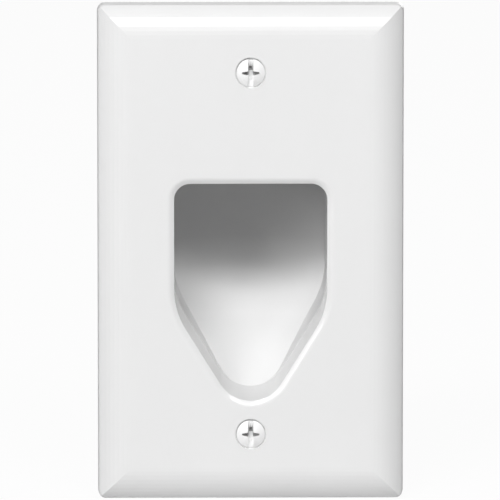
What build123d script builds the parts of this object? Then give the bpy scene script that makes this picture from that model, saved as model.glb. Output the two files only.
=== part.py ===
from build123d import *
import math
import os

# Recessed cable wall plate, one gang. Millimetres.
# Frame: +Z up, the wall plane is y = 0, the front faces -Y and the hood runs back to +Y.
# The origin lies on the wall plane midway between the two fixing screws.

# Crowned plate
plate_width = 69.85
plate_height = 114.3
plate_depth = 6.0
outline_corner = 1.8
side_draft = 4.0
shoulder_radius = 11.0
shoulder_drop = 3.2
edge_round = 0.8
face_wall = 2.4
rim_wall = 2.2

# Cable opening along the sharp edge inside its bevel
opening_width = 34.9
opening_top = 16.15
opening_bottom = -34.0
opening_taper = 32.0
opening_corner = 3.7
opening_tip = 8.1
lip_bevel = 1.05
lip_drop = 0.6
lip_round = 2.2
lip_depth = 8.0
lip_rise = 2.2

# Scoop hood behind the lip
hood_wall = 2.0
hood_depth = 35.0
hood_rise = 0.5
back_bow = 30.0
floor_bow = 15.0
floor_slope = 33.0
mouth_bevel = 0.5

# Fixing screws, 6-32 oval head
screw_spacing = 83.3
screw_diameter = 3.5
neck_diameter = 2.95
screw_length = 25.4
screw_point = 0.6
head_width = 6.4
head_angle = 82.0
head_sink = 0.3
dome_height = 0.95
slot_width = 1.2
slot_depth = 1.15
cross_span = 4.3
cross_width = 1.15
cross_tip = 0.35
cross_depth = 2.1
cross_angle = 26.5
hole_clearance = 0.25
seat_clearance = 0.05
seat_relief = 0.7
boss_diameter = 9.5
boss_gap = 0.5

# Derived places
front = -plate_depth
crease = front + lip_depth
taper = math.radians(opening_taper)
opening_apex = opening_bottom + opening_tip - opening_tip / math.sin(taper)
bend_height = opening_apex + opening_width / 2 / math.tan(taper)
slope = math.radians(floor_slope)
tip_depth = crease - floor_bow * math.sin(slope)
tip_height = opening_bottom + lip_rise + floor_bow * math.cos(slope)
ball_depth = hood_depth - hood_wall - back_bow
floor_run = ball_depth + back_bow * math.sin(slope) - crease
ball_height = opening_bottom + lip_rise + floor_run * math.tan(slope) + back_bow * math.cos(slope)
hood_top = opening_top + lip_rise + hood_wall + hood_rise
bore_radius = screw_diameter / 2 + hole_clearance
screw_places = (screw_spacing / 2, -screw_spacing / 2)
half_cone = math.tan(math.radians(head_angle / 2))


def crown(span, length, plane, inset, wall):
    """Bar with rounded shoulders across span, drawn out along length."""
    half = span / 2 - inset
    depth = plate_depth - wall
    radius = shoulder_radius - wall
    reach = math.sqrt(2 * shoulder_radius * shoulder_drop - shoulder_drop**2)
    flat = span / 2 - reach
    drop = radius - math.sqrt(radius**2 - (half - flat) ** 2)
    face = Line((-flat, -depth), (flat, -depth))
    right = TangentArc(face @ 1, (half, drop - depth), tangent=(1, 0))
    left = TangentArc(face @ 0, (-half, drop - depth), tangent=(-1, 0))
    sides = Polyline(right @ 1, (half, 0), (-half, 0), left @ 1)
    return extrude(plane * make_face(Curve() + [face, right, left, sides]), length / 2, both=True)


def plate_form(inset, wall):
    """Crowned form of the plate, mitred at the corners, set in from the outside."""
    width = plate_width - 2 * inset
    height = plate_height - 2 * inset
    outline = Plane.XZ * RectangleRounded(width, height, max(outline_corner - inset, 0.4))
    block = extrude(outline, plate_depth, taper=side_draft)
    across = crown(plate_width, plate_height, Plane.XY, inset, wall)
    along = crown(plate_height, plate_width, Plane((0, 0, 0), (0, 0, 1), (-1, 0, 0)), inset, wall)
    return block & across & along


def opening_face(grow):
    """Outline of the cable opening, an upturned drop with a level top, grown outwards."""
    half = opening_width / 2
    line = FilletPolyline(
        (half, opening_top),
        (half, bend_height),
        (0, opening_apex),
        (-half, bend_height),
        (-half, opening_top),
        radius=(opening_corner, half, opening_tip, half, opening_corner),
        close=True,
    )
    face = make_face(line)
    return offset(face, grow) if grow else face


def bevel_form():
    """Bevel round the opening, from the front face in to the sharp edge."""
    spread = math.degrees(math.atan(lip_bevel / lip_drop))
    return extrude(Plane.XZ.offset(plate_depth) * opening_face(lip_bevel), -lip_drop, taper=spread)


def lip_form(grow):
    """Lip from the sharp edge back to the crease, climbing on its way."""
    run = lip_depth - lip_drop
    edge = Plane.XZ.offset(plate_depth - lip_drop) * opening_face(grow)
    return extrude(edge, math.hypot(run, lip_rise), dir=(0, run, lip_rise))


def tapered_ball(small, large):
    """Two balls in one tapered skin, from the tip of the opening up to the hood's bend."""
    rise = ball_height - tip_height
    run = ball_depth - tip_depth
    length = math.hypot(rise, run)
    slant = math.degrees(math.asin((large - small) / length))
    foot = CenterArc((0, 0), small, -90, 90 - slant)
    head = CenterArc((0, length), large, -slant, 90 + slant)
    profile = Curve() + [foot, Line(foot @ 1, head @ 0), head, Line(head @ 1, foot @ 0)]
    ball = revolve(Plane.XZ * make_face(profile), Axis.Z)
    return Plane((0, tip_depth, tip_height), (1, 0, 0), (0, run, rise)) * ball


def hood_form(grow, start, top):
    """Opening run straight back and closed by a bowed back, which slopes down to the tip."""
    far = hood_depth + 10
    floor = opening_apex - 10
    outline = Pos(0, lip_rise) * opening_face(grow)
    outline += Pos(0, top / 2) * Rectangle(opening_width + 2 * grow, top)
    passage = extrude(Plane.XZ.offset(-start) * outline, start - far)
    side = Polyline(
        (tip_depth, floor),
        (tip_depth, tip_height),
        (ball_depth, ball_height),
        (ball_depth, top),
        (far, top),
        (far, floor),
        close=True,
    )
    behind = extrude(Plane.YZ * make_face(side), plate_width, both=True)
    below = Pos(0, 0, (floor + ball_height) / 2) * Box(plate_width, 2 * far, ball_height - floor)
    scoop = tapered_ball(floor_bow + grow, back_bow + grow) & below & behind
    upright = Pos(0, ball_depth, (ball_height + top) / 2) * Cylinder(back_bow + grow, top - ball_height)
    return (passage - behind) + (passage & scoop) + (passage & (upright & behind))


def screw_axis(height):
    """Place on the front face with z running into the wall."""
    return Plane((0, front, height), (1, 0, 0), (0, 1, 0))


def screw_seat():
    """Shallow relief, countersink and clearance bore, along z from the front face."""
    rim = head_width / 2 + head_sink * half_cone + seat_clearance
    sink = (rim - bore_radius) / half_cone
    relief = Pos(0, 0, seat_relief / 2) * Cylinder(rim, seat_relief)
    cone = Pos(0, 0, sink / 2) * Cone(rim, bore_radius, sink)
    bore = Pos(0, 0, plate_depth / 2) * Cylinder(bore_radius, plate_depth)
    return relief + cone + bore


def wall_plate():
    """Plate, lip, hood and bosses as one moulding."""
    form = plate_form(0, 0)
    edge = front + shoulder_drop
    form = fillet(form.edges().filter_by_position(Axis.Y, edge - edge_round, edge + 0.1), edge_round)
    shell = form - plate_form(rim_wall, face_wall)
    boss_length = plate_depth - boss_gap
    trim = plate_form(rim_wall / 2, face_wall / 2)
    for height in screw_places:
        boss = Pos(0, 0, boss_length / 2) * Cylinder(boss_diameter / 2, boss_length)
        shell += (screw_axis(height) * boss) & trim
    collar = front + face_wall / 2
    shell += lip_form(hood_wall) & Pos(0, hood_depth / 2 + collar, 0) * Box(plate_width, hood_depth, plate_height)
    shell += hood_form(hood_wall, collar, hood_top)
    shell -= bevel_form() + lip_form(0)
    shell -= hood_form(0, crease, hood_top + 5)
    mouth = shell.edges().filter_by_position(Axis.Z, hood_top - 0.01, hood_top + 0.01)
    shell = chamfer(mouth.filter_by_position(Axis.Y, crease, hood_depth), mouth_bevel)
    lip = shell.edges().filter_by_position(Axis.Y, front - 0.01, front + 0.01)
    reach = opening_width / 2 + lip_bevel + 0.1
    lip = lip.filter_by_position(Axis.X, -reach, reach)
    lip = lip.filter_by_position(Axis.Z, opening_bottom - lip_bevel - 0.1, opening_top + lip_bevel + 0.1)
    shell = fillet(lip, lip_round)
    for height in screw_places:
        shell -= screw_axis(height) * screw_seat()
    return shell


def cross_wing():
    """One double wing of the cross recess, narrowing to its tips."""
    reach = cross_span / 2
    side = [(-reach, cross_tip / 2), (0, cross_width / 2), (reach, cross_tip / 2)]
    line = Polyline(*side, *[(-x, -y) for x, y in side], close=True)
    return extrude(make_face(line), cross_depth / 2, both=True)


def screw(height):
    """Oval-head screw with a slot and a cross recess, its thread left plain."""
    cone_end = (head_width - neck_diameter) / 2 / half_cone
    thread_start = plate_depth - head_sink
    profile = Polyline(
        (0, -dome_height),
        (0, screw_length),
        (screw_diameter / 2 - screw_point, screw_length),
        (screw_diameter / 2, screw_length - screw_point),
        (screw_diameter / 2, thread_start),
        (neck_diameter / 2, thread_start),
        (neck_diameter / 2, cone_end),
        (head_width / 2, 0),
    )
    dome = TangentArc((0, -dome_height), (head_width / 2, 0), tangent=(1, 0))
    blank = revolve(Plane.XZ * make_face(Curve() + [profile, dome]), Axis.Z)
    slot = Pos(0, 0, slot_depth / 2 - dome_height) * Box(slot_width, head_width, slot_depth)
    wings = cross_wing() + Rot(0, 0, 90) * cross_wing()
    foot = cross_span / 2 - cross_depth * math.tan(math.radians(cross_angle))
    cross = wings & Cone(cross_span / 2, foot, cross_depth)
    blank -= slot
    blank -= Pos(0, 0, cross_depth / 2 - dome_height) * cross
    return screw_axis(height) * Pos(0, 0, head_sink) * blank


os.makedirs("parts", exist_ok=True)
export_step(wall_plate(), "parts/wall_plate.step")
export_step(Compound([screw(height).solid() for height in screw_places]), "parts/mounting_screws.step")
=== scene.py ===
"""Recessed cable wall plate: finishes, threaded screws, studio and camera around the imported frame."""

import logging
import math
from dataclasses import dataclass, field
from enum import Enum
from typing import Any

import bmesh
import bpy
from mathutils import Matrix, Vector

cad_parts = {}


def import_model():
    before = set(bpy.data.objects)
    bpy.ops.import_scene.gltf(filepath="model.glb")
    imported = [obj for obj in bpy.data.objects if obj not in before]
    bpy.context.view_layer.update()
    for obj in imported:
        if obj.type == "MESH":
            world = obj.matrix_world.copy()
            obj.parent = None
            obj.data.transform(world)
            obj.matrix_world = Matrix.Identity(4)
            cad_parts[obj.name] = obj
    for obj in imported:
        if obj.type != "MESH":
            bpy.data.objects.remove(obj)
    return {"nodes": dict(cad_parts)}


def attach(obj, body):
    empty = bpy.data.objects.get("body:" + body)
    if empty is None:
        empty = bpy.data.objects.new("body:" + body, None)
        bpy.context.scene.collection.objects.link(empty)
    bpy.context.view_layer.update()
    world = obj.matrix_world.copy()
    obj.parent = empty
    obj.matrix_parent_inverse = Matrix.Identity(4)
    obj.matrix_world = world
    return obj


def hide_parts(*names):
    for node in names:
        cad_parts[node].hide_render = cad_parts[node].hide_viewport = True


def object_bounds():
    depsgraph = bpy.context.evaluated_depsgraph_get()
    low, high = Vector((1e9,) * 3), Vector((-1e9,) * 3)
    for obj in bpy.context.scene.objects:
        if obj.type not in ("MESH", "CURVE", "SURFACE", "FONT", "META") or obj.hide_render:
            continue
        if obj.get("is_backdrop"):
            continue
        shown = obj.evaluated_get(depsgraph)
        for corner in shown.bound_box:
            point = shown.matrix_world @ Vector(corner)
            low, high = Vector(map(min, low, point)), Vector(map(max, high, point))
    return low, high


frame: dict[str, Any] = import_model()
log = logging.getLogger("wall_plate")

Colour = tuple[float, float, float, float]
Stretch = tuple[float, float, float]
MM = 0.001
MERGE = 0.001 * MM
NOISE_LOW = 0.3
NOISE_HIGH = 0.7
NOISE_ROUGHNESS = 0.55
EVEN: Stretch = (1.0, 1.0, 1.0)
FLOW: Stretch = (1.0, 1.0, 0.5)


def grey(level: float) -> Colour:
    """Opaque neutral colour of one level."""
    return (level, level, level, 1.0)


def heading(azimuth: float, elevation: float) -> Vector:
    """Direction from the plate towards a lamp or the camera.

    Args:
        azimuth: Turn to the right of the front, in degrees.
        elevation: Height above the horizon, in degrees.

    Returns:
        The direction, of length one.
    """
    turn, rise = math.radians(azimuth), math.radians(elevation)
    return Vector((math.sin(turn) * math.cos(rise), -math.cos(turn) * math.cos(rise), math.sin(rise)))


def colour_blend(tree: bpy.types.NodeTree) -> tuple[bpy.types.NodeSocket, ...]:
    """Add a node that blends two colours.

    Args:
        tree: Node tree that gets the node.

    Returns:
        The sockets for the factor, the first colour, the second colour and the result.
    """
    node = tree.nodes.new("ShaderNodeMix")
    node.data_type = "RGBA"
    sockets = {item.identifier: item for item in (*node.inputs, *node.outputs)}
    return tuple(sockets[name] for name in ("Factor_Float", "A_Color", "B_Color", "Result_Color"))


class FinishSheet:
    """Node tree of one finish, with short ways to add and join its nodes."""

    def __init__(self, name: str) -> None:
        """Start a material that holds one Principled shader.

        Args:
            name: The material's name.
        """
        self.material = bpy.data.materials.new(name)
        self.material.use_nodes = True
        self.tree = self.material.node_tree
        self.shader = self.tree.nodes["Principled BSDF"]
        self.place = self.add("ShaderNodeTexCoord").outputs["Object"]

    def add(self, kind: str, **inputs: Any) -> bpy.types.Node:
        """Add a node and set its named input sockets.

        Args:
            kind: Blender's node type.
            inputs: Socket values, with spaces in socket names written as underscores.

        Returns:
            The new node.
        """
        node = self.tree.nodes.new(kind)
        for key, value in inputs.items():
            node.inputs[key.replace("_", " ")].default_value = value
        return node

    def join(self, source: bpy.types.NodeSocket, target: bpy.types.NodeSocket) -> None:
        """Lead one output socket to one input socket."""
        self.tree.links.new(source, target)

    def noise(self, scale: float, detail: float, stretch: Stretch = EVEN) -> bpy.types.NodeSocket:
        """Noise on the piece's own coordinates.

        Args:
            scale: Cells per metre.
            detail: Number of finer octaves.
            stretch: Factor on the scale along each axis.

        Returns:
            The socket with the grey noise value.
        """
        mapping = self.add("ShaderNodeMapping", Scale=stretch)
        self.join(self.place, mapping.inputs["Vector"])
        noise = self.add("ShaderNodeTexNoise", Scale=scale, Detail=detail, Roughness=NOISE_ROUGHNESS)
        self.join(mapping.outputs["Vector"], noise.inputs["Vector"])
        return noise.outputs["Fac"]

    def spread(self, source: bpy.types.NodeSocket, low: float, high: float) -> bpy.types.NodeSocket:
        """Spread the middle of a noise over a range of values.

        Args:
            source: The noise socket.
            low: Value for the dark end.
            high: Value for the bright end.

        Returns:
            The socket with the spread value.
        """
        ends = {"From_Min": NOISE_LOW, "From_Max": NOISE_HIGH, "To_Min": low, "To_Max": high}
        ramp = self.add("ShaderNodeMapRange", **ends)
        self.join(source, ramp.inputs["Value"])
        return ramp.outputs["Result"]

    def tint(self, source: bpy.types.NodeSocket, low: Colour, high: Colour) -> bpy.types.NodeSocket:
        """Blend between two colours by a grey value.

        Args:
            source: The socket that drives the blend.
            low: Colour where the value is small.
            high: Colour where the value is large.

        Returns:
            The socket with the blended colour.
        """
        ramp = self.tree.nodes.new("ShaderNodeValToRGB")
        ends = ((NOISE_LOW, low), (NOISE_HIGH, high))
        for element, (position, colour) in zip(ramp.color_ramp.elements, ends):
            element.position = position
            element.color = colour
        self.join(source, ramp.inputs["Fac"])
        return ramp.outputs["Color"]

    def bump(self, height: bpy.types.NodeSocket, strength: float, distance: float) -> None:
        """Give the shader a fine relief.

        Args:
            height: The socket with the relief's height.
            strength: Share of the relief that shows.
            distance: Height of the relief in metres.
        """
        bump = self.add("ShaderNodeBump", Strength=strength, Distance=distance)
        self.join(height, bump.inputs["Height"])
        self.join(bump.outputs["Normal"], self.shader.inputs["Normal"])


@dataclass(frozen=True)
class MouldedPlastic:
    """White moulding, polished in front and spark-textured on the sides and the hidden back."""

    name: str = "moulded_plastic"
    level: float = 0.82
    tone: float = 0.008
    roughness: float = 0.2
    roughness_play: float = 0.03
    specular: float = 0.5
    flow_scale: float = 38.0
    grain_scale: float = 210.0
    peel_scale: float = 900.0
    peel_strength: float = 0.05
    peel_height: float = 0.01 * MM

    def material(self) -> bpy.types.Material:
        """Node material of the moulding."""
        sheet = FinishSheet(self.name)
        flow = sheet.noise(self.flow_scale, 2.0, FLOW)
        colour = sheet.tint(flow, grey(self.level - self.tone), grey(self.level + self.tone))
        sheet.join(colour, sheet.shader.inputs["Base Color"])
        low, high = self.roughness - self.roughness_play, self.roughness + self.roughness_play
        grain = sheet.noise(self.grain_scale, 3.0)
        sheet.join(sheet.spread(grain, low, high), sheet.shader.inputs["Roughness"])
        sheet.shader.inputs["Specular IOR Level"].default_value = self.specular
        sheet.bump(sheet.noise(self.peel_scale, 2.0), self.peel_strength, self.peel_height)
        return sheet.material


@dataclass(frozen=True)
class HoodLiningAndPaintedShade:
    """Inside of the hood: a pale scoop floor, and above it painted shade that darkens the upper wall with
    height, standing in for the shadow in the recess.
    """

    name: str = "hood_lining_painted_shade"
    level: float = 0.82
    # Painted shade: a darker grey that is blended in with height over the upper hood wall.
    painted_shade_level: float = 0.53
    painted_shade_from: float = -18.0 * MM
    painted_shade_full: float = -1.5 * MM
    tone: float = 0.008
    roughness: tuple[float, float] = (0.5, 0.6)
    specular: float = 0.25
    flow_scale: float = 38.0
    grain_scale: float = 2600.0
    grain_strength: float = 0.1
    grain_height: float = 0.01 * MM

    def material(self) -> bpy.types.Material:
        """Node material of the hood's inside, with the painted shade on the upper wall."""
        sheet = FinishSheet(self.name)
        flow = sheet.noise(self.flow_scale, 2.0, FLOW)
        split = sheet.add("ShaderNodeSeparateXYZ")
        sheet.join(sheet.place, split.inputs["Vector"])
        # Painted shade: the colour blends with height from the pale scoop floor to the dark shade level, so
        # the upper wall looks shadowed.
        height = sheet.add("ShaderNodeMapRange", From_Min=self.painted_shade_from, From_Max=self.painted_shade_full)
        sheet.join(split.outputs["Z"], height.inputs["Value"])
        share, scoop, wall, colour = colour_blend(sheet.tree)
        sheet.join(height.outputs["Result"], share)
        for socket, level in ((scoop, self.level), (wall, self.painted_shade_level)):
            sheet.join(sheet.tint(flow, grey(level - self.tone), grey(level + self.tone)), socket)
        sheet.join(colour, sheet.shader.inputs["Base Color"])
        grain = sheet.noise(self.grain_scale, 2.0)
        sheet.join(sheet.spread(grain, *self.roughness), sheet.shader.inputs["Roughness"])
        sheet.shader.inputs["Specular IOR Level"].default_value = self.specular
        sheet.bump(grain, self.grain_strength, self.grain_height)
        return sheet.material


@dataclass(frozen=True)
class HeadEnamelAndShade:
    """White stoving enamel on the screw heads, and in a dark grey copy the painted shade of the cross
    recess.
    """

    name: str = "head_enamel"
    level: float = 0.93
    tone: float = 0.015
    roughness: tuple[float, float] = (0.24, 0.34)
    film_scale: float = 420.0
    peel_scale: float = 1600.0
    peel_strength: float = 0.12
    peel_height: float = 0.01 * MM

    def material(self) -> bpy.types.Material:
        """Node material of the painted heads."""
        sheet = FinishSheet(self.name)
        film = sheet.noise(self.film_scale, 3.0)
        colour = sheet.tint(film, grey(self.level - self.tone), grey(self.level + self.tone))
        sheet.join(colour, sheet.shader.inputs["Base Color"])
        sheet.join(sheet.spread(film, *self.roughness), sheet.shader.inputs["Roughness"])
        sheet.bump(sheet.noise(self.peel_scale, 2.0), self.peel_strength, self.peel_height)
        return sheet.material


@dataclass(frozen=True)
class ZincPlate:
    """Bright zinc plating on the screw shanks."""

    name: str = "zinc_plate"
    dark: Colour = (0.46, 0.47, 0.48, 1.0)
    light: Colour = (0.66, 0.67, 0.68, 1.0)
    roughness: tuple[float, float] = (0.26, 0.42)
    cloud_scale: float = 700.0
    cloud_stretch: Stretch = (1.0, 0.3, 1.0)

    def material(self) -> bpy.types.Material:
        """Node material of the plated shank."""
        sheet = FinishSheet(self.name)
        cloud = sheet.noise(self.cloud_scale, 4.0, self.cloud_stretch)
        sheet.join(sheet.tint(cloud, self.dark, self.light), sheet.shader.inputs["Base Color"])
        sheet.join(sheet.spread(cloud, *self.roughness), sheet.shader.inputs["Roughness"])
        sheet.shader.inputs["Metallic"].default_value = 1.0
        return sheet.material


class CadCopy:
    """Merged copy of one CAD node's mesh, ready for bmesh work."""

    def __init__(self, node: str) -> None:
        """Copy the node's mesh and merge its loose triangles.

        Args:
            node: Name of the CAD node.
        """
        self.mesh = bmesh.new()
        self.mesh.from_mesh(frame["nodes"][node].data)
        bmesh.ops.remove_doubles(self.mesh, verts=self.mesh.verts, dist=MERGE)

    def shade(self, limit: float) -> None:
        """Shade the faces smooth and keep edges above an angle sharp.

        Args:
            limit: Angle in degrees from which an edge stays sharp.
        """
        for face in self.mesh.faces:
            face.smooth = True
        for edge in self.mesh.edges:
            edge.smooth = edge.calc_face_angle(math.pi) < math.radians(limit)


def piece_from(name: str, shape: bmesh.types.BMesh, materials: list[bpy.types.Material]) -> bpy.types.Object:
    """Turn a finished bmesh into an object of the scene.

    Args:
        name: The piece's name.
        shape: The finished bmesh, which is freed.
        materials: Materials for its slots.

    Returns:
        The new object, at the origin.
    """
    mesh = bpy.data.meshes.new(name)
    shape.to_mesh(mesh)
    shape.free()
    for material in materials:
        mesh.materials.append(material)
    piece = bpy.data.objects.new(name, mesh)
    bpy.context.scene.collection.objects.link(piece)
    return piece


@dataclass
class PlateMoulding:
    """The one-piece plate with its lip, hood and bosses, taken from the CAD solid."""

    node: str = "wall_plate"
    half_width: float = 34.925 * MM
    half_height: float = 57.15 * MM
    crease_angle: float = 32.0
    mitre_slack: float = 0.02 * MM
    mitre_end: float = -2.0 * MM
    crease: float = 2.0 * MM
    crease_slack: float = 0.01 * MM
    rim: float = -3.0 * MM
    lip_middle: float = -8.0 * MM
    lip_reach: Vector = field(default_factory=lambda: Vector((17.6, 0.0, 26.5)) * MM)
    tip_centre: Vector = field(default_factory=lambda: Vector((0.0, -6.17, -19.22)) * MM)
    ball_centre: Vector = field(default_factory=lambda: Vector((0.0, 3.0, 4.62)) * MM)
    finish: MouldedPlastic = field(default_factory=MouldedPlastic)
    lining: HoodLiningAndPaintedShade = field(default_factory=HoodLiningAndPaintedShade)
    texture: MouldedPlastic = field(
        default_factory=lambda: MouldedPlastic("textured_plastic", roughness=0.55, specular=0.12)
    )

    def on_mitre(self, point: Vector) -> bool:
        """Tell whether a point lies on the line where two shoulders meet."""
        aside = self.half_width - abs(point.x)
        above = self.half_height - abs(point.z)
        return abs(aside - above) < self.mitre_slack and point.y < self.mitre_end

    def on_crease(self, point: Vector) -> bool:
        """Tell whether a point lies on the line where the lip meets the hood."""
        return abs(point.y - self.crease) < self.crease_slack

    def lines_hood(self, face: bmesh.types.BMFace) -> bool:
        """Tell whether a face belongs to the inside of the hood."""
        point = face.calc_center_median()
        axis = self.ball_centre - self.tip_centre
        share = min(max((point - self.tip_centre).dot(axis) / axis.length_squared, 0.0), 1.0)
        heart = self.tip_centre + axis * share
        if point.z > self.ball_centre.z:
            heart.z = point.z
        return point.y > self.crease and face.normal.dot(heart - point) > 0.0

    def finish_of(self, face: bmesh.types.BMFace) -> int:
        """Slot of the finish that a face carries: polished, lining with its painted shade, or textured."""
        if self.lines_hood(face):
            return 1
        return 2 if self.behind_front(face.calc_center_median()) else 0

    def behind_front(self, point: Vector) -> bool:
        """Tell whether a point lies on the plate's sides or back and not on the lip."""
        in_lip = abs(point.x) < self.lip_reach.x and abs(point.z - self.lip_middle) < self.lip_reach.z
        return point.y > (self.crease if in_lip else self.rim)

    def build(self) -> bpy.types.Object:
        """Build the piece with clean normals and its finish.

        Returns:
            The finished moulding.
        """
        copy = CadCopy(self.node)
        for face in copy.mesh.faces:
            face.material_index = self.finish_of(face)
        copy.shade(self.crease_angle)
        for edge in copy.mesh.edges:
            if any(all(test(vert.co) for vert in edge.verts) for test in (self.on_mitre, self.on_crease)):
                edge.smooth = False
        finishes = [sheet.material() for sheet in (self.finish, self.lining, self.texture)]
        piece = piece_from("plate_moulding", copy.mesh, finishes)
        even = piece.modifiers.new("even_normals", "WEIGHTED_NORMAL")
        even.mode = "FACE_AREA"
        even.weight = 60
        even.keep_sharp = True
        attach(piece, "root")
        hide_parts(self.node)
        return piece


@dataclass
class FixingScrews:
    """The two oval-head screws: painted heads from the CAD solid and a rolled thread behind the wall."""

    node: str = "mounting_screws"
    spacing: float = 83.3 * MM
    thread_start: float = 0.0
    thread_end: float = 19.7 * MM
    pitch: float = 25.4 / 32 * MM
    crest_radius: float = 1.75 * MM
    root_radius: float = 1.27 * MM
    neck_radius: float = 1.475 * MM
    flank_places: tuple[float, ...] = (0.0, 0.2, 0.5, 0.66, 1.0)
    steps: int = 30
    point: float = 0.7 * MM
    runout: float = 0.6
    seam: float = 0.002 * MM
    crease_angle: float = 28.0
    dome_radius: float = 5.8645 * MM
    dome_centre: float = -0.7855 * MM
    dome_slack: float = 0.02 * MM
    slot_half: float = 0.6 * MM
    wing_half: float = 0.63 * MM
    slot_floor: float = -5.5 * MM
    painted_shade_reach: float = 2.3 * MM
    paint_end: float = -3.9 * MM
    enamel: HeadEnamelAndShade = field(default_factory=HeadEnamelAndShade)
    # Painted shade: a dark grey copy of the enamel darkens the cross recess where it lies in shadow.
    recess: HeadEnamelAndShade = field(
        default_factory=lambda: HeadEnamelAndShade("recess_painted_shade", level=0.42, roughness=(0.5, 0.6))
    )
    zinc: ZincPlate = field(default_factory=ZincPlate)

    def thread(self) -> bmesh.types.BMesh:
        """Spin one thread groove into a shank on the Y axis.

        Returns:
            The closed threaded shank.
        """
        shank = bmesh.new()
        turns = math.ceil((self.thread_end - self.thread_start) / self.pitch) + 2
        start = self.thread_start - self.pitch
        root, crest = self.root_radius, self.crest_radius
        outline = zip((root, root, crest, crest, root), self.flank_places)
        verts = [shank.verts.new((radius, start + share * self.pitch, 0.0)) for radius, share in outline]
        edges = [shank.edges.new(pair) for pair in zip(verts, verts[1:])]
        bmesh.ops.spin(
            shank,
            geom=verts + edges,
            cent=(0.0, 0.0, 0.0),
            axis=(0.0, 1.0, 0.0),
            dvec=(0.0, self.pitch / self.steps, 0.0),
            angle=math.tau * turns,
            steps=self.steps * turns,
            use_merge=False,
        )
        bmesh.ops.remove_doubles(shank, verts=shank.verts, dist=self.seam)
        self.taper_ends(shank)
        for place, facing in ((self.thread_start, -1.0), (self.thread_end, 1.0)):
            self.close_end(shank, place, facing)
        bmesh.ops.recalc_face_normals(shank, faces=shank.faces)
        return shank

    def taper_ends(self, shank: bmesh.types.BMesh) -> None:
        """Run the thread out at the neck and chamfer its point."""
        for vert in shank.verts:
            radius = math.hypot(vert.co.x, vert.co.z)
            from_point = max(self.thread_end - vert.co.y, 0.0)
            from_neck = max(vert.co.y - self.thread_start, 0.0)
            at_point = self.crest_radius - self.point + from_point
            widest = min(at_point, self.neck_radius + self.runout * from_neck)
            if radius > widest:
                vert.co.x *= widest / radius
                vert.co.z *= widest / radius

    def close_end(self, shank: bmesh.types.BMesh, place: float, facing: float) -> None:
        """Cut a shank square at one end and cap it.

        Args:
            shank: The shank, or both heads with theirs.
            place: Where the cut lies along Y.
            facing: Direction along Y that is cut away.
        """
        cut = bmesh.ops.bisect_plane(
            shank,
            geom=shank.verts[:] + shank.edges[:] + shank.faces[:],
            dist=MERGE,
            plane_co=(0.0, place, 0.0),
            plane_no=(0.0, facing, 0.0),
            clear_outer=True,
        )
        rim = [item for item in cut["geom_cut"] if isinstance(item, bmesh.types.BMEdge)]
        bmesh.ops.edgeloop_fill(shank, edges=rim)

    def on_dome(self, point: Vector) -> bool:
        """Tell whether a point near a screw's own axis lies on the head's dome."""
        away = (point - Vector((0.0, self.dome_centre, 0.0))).length
        return abs(away - self.dome_radius) < self.dome_slack

    def finish_of(self, face: bmesh.types.BMFace) -> int:
        """Slot of the finish that a head's face carries: 0 enamel, 1 zinc, 2 painted shade on the cross
        recess's wings and upper arm.
        """
        point = face.calc_center_median()
        if point.y > self.paint_end:
            return 1
        axis = Vector((0.0, 0.0, math.copysign(self.spacing / 2, point.z)))
        point -= axis
        if all(self.on_dome(vert.co - axis) for vert in face.verts):
            return 0
        # Painted shade: the recess wings and the upper arm, which the light from above leaves dark, get the
        # dark finish; the lower arm stays white.
        wing = abs(point.x) > self.wing_half and abs(point.z) < self.wing_half
        arm = abs(point.x) < self.slot_half and point.z > self.slot_half and point.y > self.slot_floor
        return 2 if (wing or arm) and math.hypot(point.x, point.z) < self.painted_shade_reach else 0

    def build(self) -> bpy.types.Object:
        """Build both screws as one piece with painted heads and plated shanks.

        Returns:
            The finished pair of screws.
        """
        copy = CadCopy(self.node)
        heads = copy.mesh
        self.close_end(heads, self.thread_start - self.seam, 1.0)
        for face in heads.faces:
            face.material_index = self.finish_of(face)
        shank = self.thread()
        spare = bpy.data.meshes.new("spare_shank")
        for face in shank.faces:
            face.material_index = 1
        shank.to_mesh(spare)
        shank.free()
        for shift in (self.spacing / 2, -self.spacing):
            spare.transform(Matrix.Translation((0.0, 0.0, shift)))
            heads.from_mesh(spare)
        bpy.data.meshes.remove(spare)
        copy.shade(self.crease_angle)
        finishes = [sheet.material() for sheet in (self.enamel, self.zinc, self.recess)]
        piece = piece_from("threaded_screws", heads, finishes)
        even = piece.modifiers.new("even_normals", "WEIGHTED_NORMAL")
        even.keep_sharp = True
        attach(piece, "root")
        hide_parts(self.node)
        return piece


class LampRole(Enum):
    """What a studio lamp does for the picture."""

    KEY = "key"
    LEFT = "left"
    FRONT = "front"
    RIGHT = "right"
    BACK = "back"


@dataclass(frozen=True)
class SoftLamp:
    """Rectangular soft lamp, aimed at the plate."""

    role: LampRole
    azimuth: float
    elevation: float
    distance: float
    size: tuple[float, float]
    radiance: float
    spread: float = 180.0

    def build(self) -> bpy.types.Object:
        """Build the lamp.

        Returns:
            The lamp object.
        """
        light = bpy.data.lights.new(f"{self.role.value}_lamp", "AREA")
        light.shape = "RECTANGLE"
        light.size, light.size_y = self.size
        light.energy = self.radiance * math.pi * self.size[0] * self.size[1]
        light.spread = math.radians(self.spread)
        lamp = bpy.data.objects.new(light.name, light)
        lamp.visible_camera = False
        away = heading(self.azimuth, self.elevation)
        lamp.location = away * self.distance
        lamp.rotation_euler = away.to_track_quat("Z", "Y").to_euler()
        bpy.context.scene.collection.objects.link(lamp)
        return lamp


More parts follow.
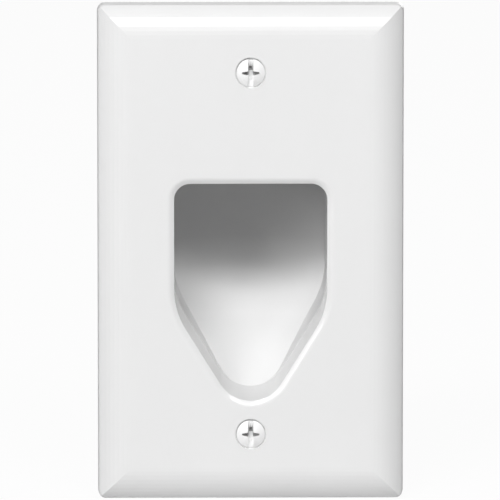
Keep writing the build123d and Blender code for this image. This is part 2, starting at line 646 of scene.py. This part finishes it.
@dataclass
class Studio:
    """Pale floor, white surroundings, lamps and camera."""

    floor_half: float = 0.9
    floor_gap: float = 0.05 * MM
    floor_roughness: float = 0.9
    floor_seen: float = 0.97
    floor_bounce: float = 0.5
    floor_veil: float = 0.95
    ambient: float = 0.0
    lamps: tuple[SoftLamp, ...] = (
        SoftLamp(LampRole.KEY, -16.0, 38.0, 2.0, (0.63, 0.39), 9.4, 120.0),
        SoftLamp(LampRole.LEFT, -36.0, 19.0, 2.0, (0.63, 0.78), 3.2, 120.0),
        SoftLamp(LampRole.FRONT, 4.0, 32.0, 2.0, (0.63, 0.78), 1.65, 120.0),
        SoftLamp(LampRole.RIGHT, 24.0, 35.0, 2.0, (0.63, 0.39), 4.9, 120.0),
        SoftLamp(LampRole.BACK, 168.0, 8.0, 2.0, (0.9, 0.4), 0.9, 30.0),
    )
    view_azimuth: float = -0.614
    view_elevation: float = 9.016
    view_distance: float = 2.0843
    view_target: tuple[float, float, float] = (-0.103 * MM, 0.0, 0.019 * MM)
    focal_pixels: float = 9124.5
    image_width: int = 500
    sensor_width: float = 36.0
    view_end: float = 100.0

    def seen_white(self, tree: bpy.types.NodeTree) -> bpy.types.NodeSocket:
        """Value of 1 for camera, glossy and transmission rays.

        Args:
            tree: Node tree that needs the value.

        Returns:
            The socket with the value.
        """
        path = tree.nodes.new("ShaderNodeLightPath")
        value = path.outputs["Is Camera Ray"]
        for name in ("Is Glossy Ray", "Is Transmission Ray"):
            either = tree.nodes.new("ShaderNodeMath")
            either.operation = "MAXIMUM"
            tree.links.new(value, either.inputs[0])
            tree.links.new(path.outputs[name], either.inputs[1])
            value = either.outputs["Value"]
        return value

    def floor(self) -> bpy.types.Object:
        """Pale floor under the plate, veiled white where the camera sees it.

        Returns:
            The floor object, marked as stage.
        """
        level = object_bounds()[0].z - self.floor_gap
        sheet = bmesh.new()
        bmesh.ops.create_grid(sheet, x_segments=1, y_segments=1, size=self.floor_half)
        bmesh.ops.translate(sheet, verts=sheet.verts, vec=(0.0, 0.0, level))
        paint = bpy.data.materials.new("floor_paint")
        paint.use_nodes = True
        tree = paint.node_tree
        shader = tree.nodes["Principled BSDF"]
        seen = self.seen_white(tree)
        share, bounce, paper, colour = colour_blend(tree)
        bounce.default_value = grey(self.floor_bounce)
        paper.default_value = grey(self.floor_seen)
        tree.links.new(seen, share)
        tree.links.new(colour, shader.inputs["Base Color"])
        shader.inputs["Roughness"].default_value = self.floor_roughness
        shader.inputs["Specular IOR Level"].default_value = 0.0
        white = tree.nodes.new("ShaderNodeEmission")
        white.inputs["Strength"].default_value = 1.0
        veil = tree.nodes.new("ShaderNodeMath")
        veil.operation = "MULTIPLY"
        veil.inputs[1].default_value = self.floor_veil
        tree.links.new(seen, veil.inputs[0])
        mix = tree.nodes.new("ShaderNodeMixShader")
        tree.links.new(veil.outputs["Value"], mix.inputs["Fac"])
        tree.links.new(shader.outputs["BSDF"], mix.inputs[1])
        tree.links.new(white.outputs["Emission"], mix.inputs[2])
        tree.links.new(mix.outputs["Shader"], tree.nodes["Material Output"].inputs["Surface"])
        floor = piece_from("studio_floor", sheet, [paint])
        floor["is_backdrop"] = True
        return floor

    def surroundings(self) -> None:
        """White world for the eye, with a plain ambient level for the light."""
        world = bpy.data.worlds.new("studio_world")
        bpy.context.scene.world = world
        world.use_nodes = True
        tree = world.node_tree
        strength = tree.nodes.new("ShaderNodeMapRange")
        strength.inputs["To Min"].default_value = self.ambient
        strength.inputs["To Max"].default_value = 1.0
        tree.links.new(self.seen_white(tree), strength.inputs["Value"])
        back = tree.nodes["Background"]
        back.inputs["Color"].default_value = grey(1.0)
        tree.links.new(strength.outputs["Result"], back.inputs["Strength"])

    def camera(self) -> bpy.types.Object:
        """Camera at the photograph's angle.

        Returns:
            The scene's camera.
        """
        data = bpy.data.cameras.new("studio_camera")
        data.sensor_width = self.sensor_width
        data.lens = self.focal_pixels / self.image_width * self.sensor_width
        data.clip_end = self.view_end
        camera = bpy.data.objects.new(data.name, data)
        away = heading(self.view_azimuth, self.view_elevation)
        camera.location = Vector(self.view_target) + away * self.view_distance
        camera.rotation_euler = away.to_track_quat("Z", "Y").to_euler()
        bpy.context.scene.collection.objects.link(camera)
        bpy.context.scene.camera = camera
        return camera

    def build(self) -> None:
        """Build the whole studio and set the plain view transform."""
        self.floor()
        self.surroundings()
        for lamp in self.lamps:
            lamp.build()
        self.camera()
        bpy.context.scene.view_settings.view_transform = "Standard"


def main() -> None:
    """Build the plate, the screws and the studio in order."""
    logging.basicConfig(level=logging.INFO, format="%(name)s: %(message)s")
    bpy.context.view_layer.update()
    for maker in (PlateMoulding(), FixingScrews()):
        piece = maker.build()
        log.info("%s with %d faces", piece.name, len(piece.data.polygons))
    Studio().build()


if __name__ == "__main__":
    main()
